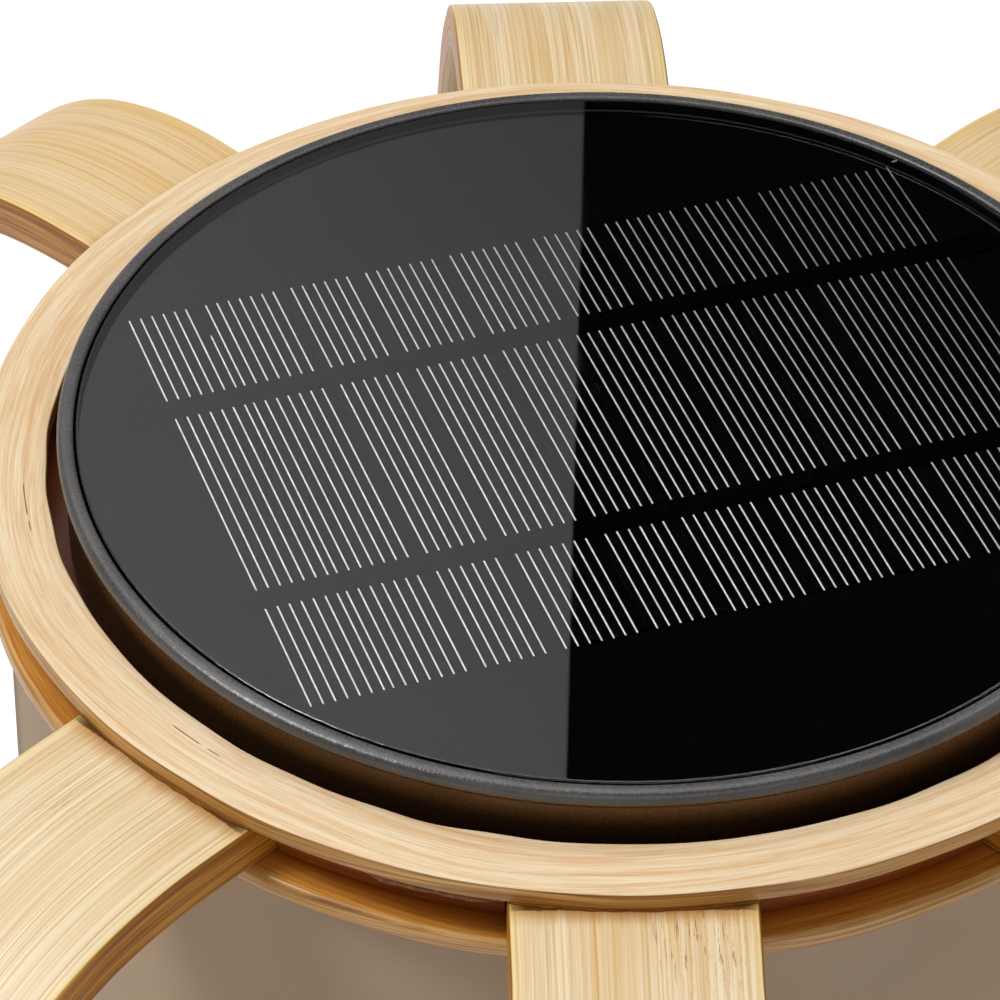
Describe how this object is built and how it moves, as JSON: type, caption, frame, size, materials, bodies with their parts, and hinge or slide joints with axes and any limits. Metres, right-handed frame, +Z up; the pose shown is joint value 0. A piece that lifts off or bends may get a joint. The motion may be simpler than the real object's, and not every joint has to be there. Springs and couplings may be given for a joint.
{
  "type": "solar lantern",
  "caption": "Free-standing solar lantern: round solar light module lifting out of a cage of bent bamboo arms around a frosted cylinder.",
  "frame": {"origin": "centre of the lantern on the surface it stands on", "axes": "+Z up through the centre of the light module; -Y is the front, where one arm points at the viewer and the button lies under the module"},
  "size_m": [0.3404, 0.3404, 0.2805],
  "materials": {
    "bamboo_ring": "pale laminated bamboo, fine lines round the ring, satin clear varnish",
    "bamboo_arm": "pale bamboo strip, straight grain along the arm, satin clear varnish",
    "bamboo_spacer": "bamboo darkened by glue and varnish, glossy",
    "smoked_glass": "smoky grey-brown frosted glass",
    "black_plastic": "black, fine moulded texture, satin",
    "panel_glass": "clear, polished",
    "solar_cell": "near-black silicon with fine silver print lines",
    "black_sheet": "black laminate",
    "rubber": "black",
    "circuit_board": "green solder mask",
    "white_board": "white solder mask",
    "opal_plastic": "frosted white diffuser",
    "steel": "zinc plated",
    "battery_sleeve": "blue shrink sleeve",
    "grey_button": "grey, matt",
    "red_wire": "red insulation",
    "black_wire": "black insulation"
  },
  "bodies": {
    "cage": {"top_ring_upper": "bamboo_ring", "top_ring_lower": "bamboo_ring", "top_spacer_1": "bamboo_spacer", "top_spacer_2": "bamboo_spacer", "top_spacer_3": "bamboo_spacer", "top_spacer_4": "bamboo_spacer", "top_spacer_5": "bamboo_spacer", "top_spacer_6": "bamboo_spacer", "top_spacer_7": "bamboo_spacer", "top_spacer_8": "bamboo_spacer", "arm_1": "bamboo_arm", "arm_2": "bamboo_arm", "arm_3": "bamboo_arm", "arm_4": "bamboo_arm", "arm_5": "bamboo_arm", "arm_6": "bamboo_arm", "arm_7": "bamboo_arm", "arm_8": "bamboo_arm", "shade_cylinder": "smoked_glass", "base_ring_upper": "bamboo_ring", "base_ring_lower": "bamboo_ring", "base_spacer_1": "bamboo_spacer", "base_spacer_2": "bamboo_spacer", "base_spacer_3": "bamboo_spacer", "base_spacer_4": "bamboo_spacer", "base_spacer_5": "bamboo_spacer", "base_spacer_6": "bamboo_spacer", "base_spacer_7": "bamboo_spacer", "base_spacer_8": "bamboo_spacer", "base_disc": "bamboo_arm", "foot_pad_1": "rubber", "foot_pad_2": "rubber", "foot_pad_3": "rubber", "foot_pad_4": "rubber"},
    "light_module": {"module_bezel": "black_plastic", "module_housing": "black_plastic", "battery_door": "black_plastic", "push_switch": "black_plastic", "panel_glass": "panel_glass", "cell_string": "solar_cell", "panel_backing": "black_sheet", "housing_seal": "rubber", "main_board": "circuit_board", "switch_board": "circuit_board", "panel_lead_red": "red_wire", "panel_lead_black": "black_wire", "battery_cell": "battery_sleeve", "battery_contact_1": "steel", "battery_contact_2": "steel", "door_screw": "steel", "led_board": "white_board", "light_lens": "opal_plastic", "housing_screw_1": "steel", "housing_screw_2": "steel", "housing_screw_3": "steel", "housing_screw_4": "steel"},
    "button": {"mode_button": "grey_button"}
  },
  "joints": [
    {"name": "module_lift", "type": "slide", "parent": "cage", "child": "light_module", "axis": [0, 0, 1], "range_m": [0, 0.045]},
    {"name": "button_press", "type": "slide", "parent": "light_module", "child": "button", "axis": [0, 0, 1], "range_m": [0, 0.0012], "stiffness_N_per_m": 400, "springref_m": -0.0005}
  ]
}
